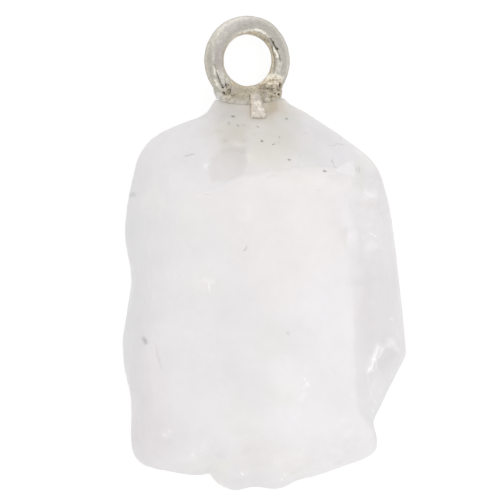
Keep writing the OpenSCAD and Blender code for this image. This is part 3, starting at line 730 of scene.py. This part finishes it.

# What the silver is multiplied by on parts of the ring: one number, or one for each colour. Many
# of them are painted highlights and painted shade, set by where the wire lies and faces
TINTS = {
    "painted highlight on the shoulder": (1.20, 1.20, 1.23),
    "painted shade on the left rim": (0.93, 0.93, 0.90),
    "dark scratches": (0.905, 0.90, 0.885),
    "bright scratches": 1.07,
    # Painted reflection, lighter and warmer, on the inner wall
    "inner wall": (1.12, 1.08, 1.00),
    "painted highlight on top of the inner wall": (1.20, 1.20, 1.22),
    # Painted highlight low on the left of the wire
    "lower left": (1.17, 1.17, 1.18),
    "painted shade on the front of the left": (0.95, 0.93, 0.95),
    # Painted highlight on the outside of the right
    "right rim": (1.10, 1.10, 1.11),
    "painted shade on the lower right rim": (0.84, 0.84, 0.83),
    "painted shade inside the right of the wire": (0.87, 0.85, 0.82),
    "solder": (1.04, 1.00, 0.945),
    "painted shade in the crevices": (0.50, 0.46, 0.40),
    "upper lumps": (1.22, 1.20, 1.18),
    "lower lumps": (0.88, 0.87, 0.85),
    "bright lumps": (1.28, 1.26, 1.20),
    "dark lumps": (0.86, 0.84, 0.80),
    "middle": (0.95, 0.95, 0.93),
    "streaks": (0.88, 0.85, 0.80),
    "painted highlight on the rim of the eye": (1.2, 1.18, 1.14),
    "foot": (0.90, 0.93, 0.98),
    "left end of the foot": (1.11, 1.13, 1.17),
    "right end of the foot": (0.88, 0.89, 0.86),
    "pits": (0.18, 0.15, 0.12),
}
BRIGHTEST = 1.5

# The blue of a crease is its tone to these powers, so that dark and bright ones are both warm
DARK_BLUE = 1.2
BRIGHT_BLUE = 0.95

# Creases that are brighter than this also give off painted light, and the seam under the foot
# gives off a little painted glow, though neither is a lamp
GLINT_FROM = 1.3
GLINT = 0.4
SEAM_GLOW = 0.22

# How much less metallic the tongue and the rim of the foot are
FROST_DULL = 0.85
FOOT_DULL = 0.7

# What the painted shade along the rim on the tongue's left takes from red, green and blue
SHADE_LOSS = (0.02, 0.06, 0.14)


def cells(at, size, seed):
    """Distances to the two nearest lumps' middles, and a number that is the nearest's own."""
    shift = Vector([seed * part for part in CELL_STRIDE])
    found = [noise.voronoi(Vector(p) / size + shift) for p in at]
    near = np.array([apart[0] for apart, _ in found])
    far = np.array([apart[1] for apart, _ in found])
    own = np.array([
        OWN_SCALE * math.sin(sum(turn * part for turn, part in zip(OWN_TURN, middles[0])))
        for _, middles in found])
    return near, far, own - np.floor(own)


def wire_side(at):
    """Angle round the eye, and angle round the wire from its front, above 0 on its outside."""
    from_eye = at - EYE
    lift = from_eye @ EYE_AXIS
    flat = from_eye - lift[:, None] * EYE_AXIS
    reach = np.linalg.norm(flat, axis=1)
    return np.arctan2(flat[:, 1], flat[:, 0]), np.arctan2(reach - RING_R, lift)


def toward(turn, way):
    """1 where an angle round the eye points that way, in degrees, and -1 opposite."""
    return np.cos(turn - math.radians(way))


def tongue_share(at):
    """1 on the solder tongue and 0 elsewhere."""
    x, y, z = at.T
    left = np.interp(y, TONGUE_Y, TONGUE_LEFT)
    right = np.interp(y, TONGUE_Y, TONGUE_RIGHT)
    wide = step(x, left, left + 0.08) * (1 - step(x, right, right + 0.08))
    return wide * (1 - step(y, *TONGUE_TOP)) * step(y, *TONGUE_END) * step(z, *TONGUE_Z)


def ring_marks(at):
    """Noise and masks that the ring's relief and its tones share."""
    x, y, _ = at.T
    shake = ripple(at, 0.5, 31)
    near, far, own = cells(at, LUMP, 4)
    grains, _, _ = cells(at, GRAIN, 5)
    tongue = tongue_share(at)
    over_solder = y - along(x, SOLDER_TOP) - 0.3 * shake
    return {
        "shake": shake,
        "foot": 1 - step(y + 0.15 * shake - along(x, FOOT_TOP), -0.15, 0.15),
        "near": near,
        "far": far,
        "own": own,
        "grains": grains,
        "tongue": tongue,
        "lumpy": (1 - step(over_solder, -0.15, 0.1)) * (1 - tongue),
        "sides": step(np.abs(x - LUMPS_X + 0.2 * shake), *LUMPS_OFF),
        "wx": x + 0.06 * ripple(at, 0.22, 37),
        "wy": y + 0.06 * ripple(at, 0.22, 38),
    }


def ring_relief(at, out, marks):
    """How far each point of the ring stands out of the frame's shape."""
    y = at[:, 1]
    front = step(out[:, 2], -0.1, 0.3)
    sides = 0.25 + 0.75 * marks["sides"]
    high = DENTS * ripple(at, 0.9, 33) + SHORT_DENTS * marks["shake"]
    high += FINE_DENTS * ripple(at, 0.12, 36, 2)
    lumps = LUMP_HIGH * (0.45 - marks["near"]) + LUMP_ROUGH * ripple(at, 0.25, 35)
    high += marks["lumpy"] * sides * lumps
    grains = GRAIN_HIGH * (0.40 - marks["grains"]) + GRAIN_ROUGH * ripple(at, 0.2, 39)
    high += marks["tongue"] * grains
    foot = 1 - step(y, *FOOT_Y)
    high = high * (1 - foot * step(-out[:, 1], 0.2, 0.5)) + FOOT_LIP * foot * edge_of(out, -1)
    turn, side = wire_side(at)
    high -= WORN * step(toward(turn, 8.6), 0.62, 0.92) * step(side, 0.3, 1.2)
    for line, half, rise, _ in CREASES:
        high += front * rise * bell(off_path(marks["wx"], marks["wy"], line) / half)
    for row in PITS:
        high -= front * row[5] * bell(off_middle(marks["wx"], marks["wy"], row))
    return high


def wire_tones(tone, turn, side, scratch, marks):
    """Paints highlights and shade on the wire by where it lies round the eye and where it faces,
    and tones its scratches.
    """
    plain = 1 - marks["lumpy"]
    outer = plain * step(side, -0.2, 1.0)
    shoulder = step(side + 0.7 * (turn - math.pi / 2) + 0.2 * marks["shake"], 0.2, 0.7)
    left = step(toward(turn, 216), 0.86, 0.98)
    right = step(toward(turn, 40.1), -0.2, 0.8)
    # Besides the scratches, these are painted highlights and painted shade
    for part, mask in (
            ("painted highlight on the shoulder", plain * shoulder * (0.5 + 0.5 * toward(turn, 112)) ** 6),
            ("painted shade on the left rim", outer * step(toward(turn, 180), 0.5, 1.0)),
            ("dark scratches", step(scratch, 0.05, 0.5)),
            ("bright scratches", plain * step(-scratch, 0.12, 0.55)),
            ("inner wall", plain * step(0.27 - side, 1.1, 1.5)),
            ("painted highlight on top of the inner wall",
             plain * step(toward(turn, 105), 0.70, 0.95) * step(-side, 0.35, 0.8)),
            ("lower left", plain * left * (1 - step(np.abs(side + 0.2), 0.5, 0.9))),
            ("painted shade on the front of the left",
             step(toward(turn, 180), 0.8, 1.0) * (1 - step(np.abs(side + 0.3), 0.5, 0.9))),
            ("right rim", outer * step(toward(turn, 0), 0.7, 0.97)),
            ("painted shade on the lower right rim", outer * step(toward(turn, -34.4), 0.92, 0.99)),
            ("painted shade inside the right of the wire", plain * right * step(-side, 0.2, 1.3))):
        wash(tone, mask, TINTS[part])


def solder_tones(tone, at, marks):
    """Tones the solder's lumps, with painted shade where they meet, the streaks between them, a
    painted highlight round the eye, and the rim of the foot.
    """
    x, y, _ = at.T
    lumps = marks["lumpy"] * marks["sides"]
    middle = marks["lumpy"] * (1 - marks["sides"])
    upper = step(y, 11.6, 12.0)
    own = marks["own"]
    # Painted shade where the lumps meet, fainter higher up
    crevice = 1 - step(marks["far"] - marks["near"] + 0.25 * ripple(at, 0.3, 45), -0.08, 0.12)
    crevice *= 0.25 + 0.75 * (1 - step(y + 0.3 * marks["shake"], 11.75, 12.05))
    streaks = step(ripple(at * (1.0, 0.25, 0.6), 0.16, 43), 0.0, 0.5)
    off_rim = np.abs(np.hypot(x - EYE[0], y - EYE[1]) - RIM_R)
    for part, mask in (
            ("solder", marks["lumpy"]),
            ("painted shade in the crevices", lumps * crevice * (1 - 0.7 * marks["foot"])),
            ("upper lumps", lumps * upper),
            ("lower lumps", lumps * (1 - upper)),
            ("bright lumps", lumps * step(own, 0.4, 0.9)),
            ("dark lumps", lumps * (1 - step(own, 0.1, 0.35))),
            ("middle", middle),
            ("streaks", middle * streaks),
            ("painted highlight on the rim of the eye", marks["lumpy"] * (1 - step(off_rim, 0.04, 0.14))),
            ("foot", marks["foot"]),
            ("left end of the foot", marks["foot"] * step(-x, 2.5, 3.0)),
            ("right end of the foot", marks["foot"] * step(x, 0.1, 0.5))):
        wash(tone, mask, TINTS[part])


def ring_tones(at, out, marks):
    """Tone of the metal at each point, against the silver's, with painted shade and highlights,
    and how much painted light it gives off at its glints and under the foot.
    """
    tone = np.ones((len(at), 3))
    turn, side = wire_side(at)
    unrolled = np.stack((0.3 * RING_R * turn, WIRE_R * side, 0 * side), axis=1)
    scratch = ripple(unrolled, 0.09, 41)
    wire_tones(tone, turn, side, scratch, marks)
    solder_tones(tone, at, marks)
    # Painted shade in the solder's hollows
    for row in PITS:
        near = off_middle(marks["wx"], marks["wy"], row) / 1.1
        wash(tone, step(out[:, 2], -0.25, 0.05) * bell(near), TINTS["pits"])
    front = step(out[:, 2], -0.1, 0.3)
    glint = np.zeros(len(at))
    # Dark creases get painted shade, bright ones a painted highlight, and the brightest give off
    # painted light too
    for line, half, _, shade in CREASES:
        near = front * bell(off_path(marks["wx"], marks["wy"], line) / half)
        wash(tone, near, (shade, shade, shade ** (DARK_BLUE if shade < 1 else BRIGHT_BLUE)))
        glint = np.maximum(glint, near * (shade - GLINT_FROM) * GLINT)
    # A little painted glow under the foot lights the seam
    seam = SEAM_GLOW * step(-out[:, 1], 0.4, 0.9) * (1 - step(at[:, 1], *SEAM_Y))
    return np.minimum(tone, BRIGHTEST), glint * (1 + 0.8 * scratch) + seam


def frost_tones(at, marks):
    """Tone of the frosted tongue: white grains, brown veins and painted shade along the rim on
    its left.
    """
    x, y, _ = at.T
    tone = 0.90 + 0.22 * step(-marks["grains"], -0.5, -0.1)
    tone *= 1 + 0.22 * step(ripple(at, 0.30, 51), 0.0, 0.4)
    tone *= 1 - 0.28 * (1 - step(np.abs(ripple(at, 0.45, 52, 2)), 0.02, 0.12))
    tone *= 1 - 0.07 * step(y, 10.2, 10.7)
    # Painted shade along the rim on the tongue's left
    left = np.interp(y, TONGUE_Y, TONGUE_SHADE)
    dull_and_shaded = 1 - step(x, left, left + 0.12)
    return tone[:, None] * (1 - dull_and_shaded[:, None] * SHADE_LOSS)


# Materials

# The marks' middle height and half depth, so that they stay on the front
MARK_Z = 8 * MM
MARK_DEEP = 6 * MM

# The marks' edges are pushed about by noise of this size, by up to about this reach
SHAKE_SIZE = 0.22 * MM
SHAKE_REACH = 0.09 * MM


def new_material(name):
    """A new material, its node tree and its skin shader."""
    material = bpy.data.materials.new(name)
    material.use_nodes = True
    tree = material.node_tree
    return material, tree, tree.nodes["Principled BSDF"]


def give(node, values):
    """Puts each value on the input of that name, or links it there if it is a socket."""
    for name, value in values.items():
        if isinstance(value, bpy.types.NodeSocket):
            node.id_data.links.new(value, node.inputs[name])
        else:
            node.inputs[name].default_value = value


def add(tree, kind, output, values=None, **options):
    """An output of a new node that has these options, and these values and links going in."""
    node = tree.nodes.new(kind)
    for name, value in options.items():
        setattr(node, name, value)
    give(node, values or {})
    return node.outputs[output]


def new_group(name, inputs, output):
    """A new node group, the sockets that bring in its inputs, and its output node."""
    group = bpy.data.node_groups.new(name, "ShaderNodeTree")
    for socket, kind in inputs:
        group.interface.new_socket(socket, in_out="INPUT", socket_type="NodeSocket" + kind)
    socket, kind = output
    group.interface.new_socket(socket, in_out="OUTPUT", socket_type="NodeSocket" + kind)
    given = group.nodes.new("NodeGroupInput")
    return group, given.outputs, group.nodes.new("NodeGroupOutput")


def speckle_group():
    """The node group, built once, that makes noise and stretches it from Low to High."""
    if "Speckle" in bpy.data.node_groups:
        return bpy.data.node_groups["Speckle"]
    group, given, result = new_group(
        "Speckle", (("Place", "Vector"), ("Scale", "Float"), ("Detail", "Float"),
                    ("Roughness", "Float"), ("Low", "Float"), ("High", "Float")),
        ("Value", "Float"))
    grain = add(group, "ShaderNodeTexNoise", "Fac", {
        "Vector": given["Place"], "Scale": given["Scale"], "Detail": given["Detail"],
        "Roughness": given["Roughness"]})
    spread = add(group, "ShaderNodeMapRange", "Result", {
        "Value": grain, "From Min": 0.3, "From Max": 0.7,
        "To Min": given["Low"], "To Max": given["High"]})
    give(result, {"Value": spread})
    return group


def speckle(tree, scale, detail, low, high, rough=0.5):
    """Speckles on object coordinates, from low to high, with scale features to the metre."""
    return add(tree, "ShaderNodeGroup", "Value", {
        "Place": add(tree, "ShaderNodeTexCoord", "Object"), "Scale": scale, "Detail": detail,
        "Roughness": rough, "Low": low, "High": high}, node_tree=speckle_group())


def tinted(tree, share):
    """The mesh's own tint, multiplied by a value that changes over the surface."""
    tint = add(tree, "ShaderNodeAttribute", "Color", attribute_name="tint")
    return add(tree, "ShaderNodeVectorMath", "Vector", {0: tint, 1: share}, operation="MULTIPLY")


def bumped(tree, height, strength, distance):
    """The normal of a surface with a height on it."""
    return add(tree, "ShaderNodeBump", "Normal", {
        "Height": height, "Strength": strength, "Distance": distance})


def mark_group():
    """A node group that tones a colour within an ellipse, seen from the front."""
    group, given, result = new_group(
        "Mark", (("Colour", "Color"), ("Place", "Vector"), ("Middle", "Vector"),
                 ("Turn", "Vector"), ("Half size", "Vector"), ("Tone", "Float")),
        ("Colour", "Color"))
    turned = add(group, "ShaderNodeMapping", "Vector", {
        "Vector": given["Place"], "Location": given["Middle"], "Rotation": given["Turn"],
        "Scale": given["Half size"]}, vector_type="TEXTURE")
    off = add(group, "ShaderNodeVectorMath", "Value", {0: turned}, operation="LENGTH")
    edge = add(group, "ShaderNodeMapRange", "Result", {
        "Value": off, "From Min": 0.5, "From Max": 1.4, "To Min": given["Tone"],
        "To Max": 1.0}, interpolation_type="SMOOTHSTEP")
    toned = add(group, "ShaderNodeVectorMath", "Vector", {
        0: given["Colour"], "Scale": edge}, operation="SCALE")
    give(result, {"Colour": toned})
    return group


def shaken_place(tree):
    """Object coordinates pushed about by noise."""
    place = add(tree, "ShaderNodeTexCoord", "Object")
    shake = add(tree, "ShaderNodeTexNoise", "Color", {
        "Vector": place, "Scale": 1 / SHAKE_SIZE, "Detail": 2})
    centred = add(tree, "ShaderNodeVectorMath", "Vector", {
        0: shake, 1: (0.5, 0.5, 0.5)}, operation="SUBTRACT")
    push = add(tree, "ShaderNodeVectorMath", "Vector", {
        0: centred, "Scale": 4 * SHAKE_REACH}, operation="SCALE")
    return add(tree, "ShaderNodeVectorMath", "Vector", {0: place, 1: push}, operation="ADD")


def with_marks(tree, colour):
    """Draws the stone's fine marks over a colour."""
    group = mark_group()
    place = shaken_place(tree)
    for (ax, ay), (bx, by), half, tone in mark_rows(True):
        reach = math.hypot(bx - ax, by - ay) / 2
        colour = add(tree, "ShaderNodeGroup", "Colour", {
            "Colour": colour,
            "Place": place,
            "Middle": ((ax + bx) / 2 * MM, (ay + by) / 2 * MM, MARK_Z),
            "Turn": (0, 0, math.atan2(by - ay, bx - ax)),
            "Half size": ((reach + 0.8 * half) * MM, 0.8 * half * MM, MARK_DEEP),
            "Tone": tone}, node_tree=group)
    return colour


def stone_material(look):
    """Milky moonstone with clouds, haze and fine marks."""
    material, tree, skin = new_material("Moonstone")
    clouds = add(tree, "ShaderNodeMath", "Value", {
        0: speckle(tree, 330, 3, 0.975, 1.022),
        1: speckle(tree, 1500, 3, 0.993, 1.006)}, operation="MULTIPLY")
    give(skin, {
        "Base Color": with_marks(tree, tinted(tree, clouds)),
        "Roughness": speckle(tree, 900, 3, look.roughness - 0.08, look.roughness + 0.12),
        "Normal": bumped(tree, speckle(tree, 3600, 4, 0, 1), 0.2, 0.03 * MM),
        "IOR": 1.52,
        "Specular IOR Level": 0.35,
        "Subsurface Weight": 0.35,
        "Subsurface Radius": (1.0, 0.95, 0.9),
        "Subsurface Scale": look.depth,
    })
    return material


def silver_material(look):
    """Satin silver with a fine grain, and painted glints given off as light where its creases
    catch the light; the seam under the foot glows faintly the same way.
    """
    material, tree, skin = new_material("Silver")
    give(skin, {
        "Base Color": tinted(tree, speckle(tree, 9000, 4, 0.87, 1.12, 0.65)),
        "Roughness": speckle(tree, 4000, 3, look.roughness - 0.06, look.roughness + 0.14),
        "Normal": bumped(tree, speckle(tree, 14000, 4, 0, 1, 0.6), 0.35, 0.01 * MM),
        "Metallic": add(tree, "ShaderNodeAttribute", "Fac", attribute_name="metal"),
        "Emission Color": add(tree, "ShaderNodeAttribute", "Fac", attribute_name="glint"),
        "Emission Strength": 1,
        "Specular Tint": (0.45, 0.44, 0.42, 1),
    })
    return material


# Pieces

class PENDANT_OT_stone(bpy.types.Operator):
    """Makes the raw moonstone from the frame's stone"""
    bl_idname = "pendant.stone"
    bl_label = "Moonstone"

    def execute(self, context):
        look = context.scene.pendant_stone
        obj = copy_of_node("stone", "moonstone")
        remesh(obj, look.voxel)
        smooth(obj, 2)
        at, out = points_of(obj.data)
        moved = at + out * stone_relief(at, out)[:, None]
        set_points(obj.data, moved, STONE_LOW, STONE_HIGH)
        paint(obj.data, "tint", stone_tones(at) * np.array(look.milk))
        finish_piece(obj, "stone", stone_material(look))
        return {"FINISHED"}


class PENDANT_OT_ring(bpy.types.Operator):
    """Makes the silver ring and its solder from the frame's ring"""
    bl_idname = "pendant.ring"
    bl_label = "Silver ring"

    def execute(self, context):
        look = context.scene.pendant_silver
        obj = copy_of_node("ring", "silver_ring")
        remesh(obj, look.voxel)
        smooth(obj, 2)
        at, out = points_of(obj.data)
        marks = ring_marks(at)
        moved = at + out * ring_relief(at, out, marks)[:, None]
        set_points(obj.data, moved, RING_LOW, RING_HIGH)
        share = marks["tongue"][:, None]
        tones, glint = ring_tones(at, out, marks)
        metal = tones * np.array(look.silver)
        frost = frost_tones(at, marks) * np.array(look.frost)
        paint(obj.data, "tint", metal * (1 - share) + frost * share)
        # Painted light that the silver gives off at its brightest creases and under the foot
        grade(obj.data, "glint", glint * (1 - marks["tongue"]))
        dull_and_shaded = np.maximum(FROST_DULL * marks["tongue"], FOOT_DULL * marks["foot"])
        grade(obj.data, "metal", 1 - dull_and_shaded)
        finish_piece(obj, "ring", silver_material(look))
        return {"FINISHED"}


# The table, the light and the camera

# What the camera looks at, how much of it the picture spans, and the sensor's width, which
# Blender gives in millimetres
VIEW_MIDDLE = Vector((-1.014, 0.2325, 5.2)) * MM
VIEW_WIDTH = 35.0 * MM
SENSOR = 36.0

# The round table's radius, and how far under the pendant it lies
TABLE_R = 0.6
TABLE_GAP = 0.01 * MM


def area_light(name, place, size, power):
    """A round lamp of that size in metres, turned to the pendant."""
    lamp = bpy.data.lights.new(name, "AREA")
    lamp.shape = "DISK"
    lamp.size = size
    lamp.energy = power
    obj = bpy.data.objects.new(name, lamp)
    bpy.context.scene.collection.objects.link(obj)
    obj.location = place
    obj.rotation_euler = (VIEW_MIDDLE - Vector(place)).to_track_quat("-Z", "Y").to_euler()
    return obj


class PENDANT_OT_stage(bpy.types.Operator):
    """Lays the pale table, the soft light and the camera straight above"""
    bl_idname = "pendant.stage"
    bl_label = "Table, light and camera"

    def execute(self, context):
        look = context.scene.pendant_stage
        scene = context.scene
        scene.view_settings.view_transform = "Standard"

        shell = bmesh.new()
        bmesh.ops.create_circle(shell, cap_ends=True, segments=64, radius=TABLE_R)
        bmesh.ops.translate(shell, verts=shell.verts, vec=(0, 0, -TABLE_GAP))
        mesh = bpy.data.meshes.new("table")
        shell.to_mesh(mesh)
        shell.free()
        floor = bpy.data.objects.new("table", mesh)
        scene.collection.objects.link(floor)
        material, _, skin = new_material("Table")
        give(skin, {
            "Base Color": (*look.floor, 1),
            "Roughness": 0.9,
            "Emission Color": (1, 1, 1, 1),
            "Emission Strength": look.glow,
        })
        mesh.materials.append(material)

        world = bpy.data.worlds.new("Room")
        scene.world = world
        world.use_nodes = True
        give(world.node_tree.nodes["Background"], {
            "Color": (1, 1, 1, 1),
            "Strength": look.light,
        })

        key = area_light("Key", (0.06, 0.02, 0.58), 0.36, look.key)
        key.visible_glossy = False
        for name, place, size in (("Sheen", (-0.10, 0.10, 0.55), 0.14),
                                  ("Low sheen", (-0.30, 0.34, 0.24), 0.22)):
            lamp = area_light(name, place, size, look.sheen)
            lamp.visible_diffuse = False

        lens = bpy.data.cameras.new("Camera")
        lens.type = "PERSP"
        lens.sensor_width = SENSOR
        lens.lens = SENSOR * look.distance / VIEW_WIDTH
        lens.clip_start = 0.01
        lens.clip_end = 10
        camera = bpy.data.objects.new("Camera", lens)
        camera.location = VIEW_MIDDLE + Vector((0, 0, look.distance))
        scene.collection.objects.link(camera)
        scene.camera = camera
        return {"FINISHED"}


class PENDANT_PT_panel(bpy.types.Panel):
    """Lists the pendant's pieces"""
    bl_idname = "PENDANT_PT_panel"
    bl_label = "Moonstone pendant"
    bl_space_type = "VIEW_3D"
    bl_region_type = "UI"
    bl_category = "Pendant"

    def draw(self, context):
        for operator, settings, _ in PIECES:
            self.layout.operator(operator.bl_idname)
            group = getattr(context.scene, settings)
            for name in group.__annotations__:
                self.layout.prop(group, name)


PIECES = (
    (PENDANT_OT_stone, "pendant_stone", PendantStone),
    (PENDANT_OT_ring, "pendant_silver", PendantSilver),
    (PENDANT_OT_stage, "pendant_stage", PendantStage),
)


def register():
    for operator, settings, group in PIECES:
        bpy.utils.register_class(group)
        setattr(bpy.types.Scene, settings, PointerProperty(type=group))
        bpy.utils.register_class(operator)
    bpy.utils.register_class(PENDANT_PT_panel)


def unregister():
    bpy.utils.unregister_class(PENDANT_PT_panel)
    for operator, settings, group in reversed(PIECES):
        bpy.utils.unregister_class(operator)
        delattr(bpy.types.Scene, settings)
        bpy.utils.unregister_class(group)


def main():
    register()
    bpy.ops.pendant.stone()
    bpy.ops.pendant.ring()
    bpy.ops.pendant.stage()


if __name__ == "__main__":
    main()
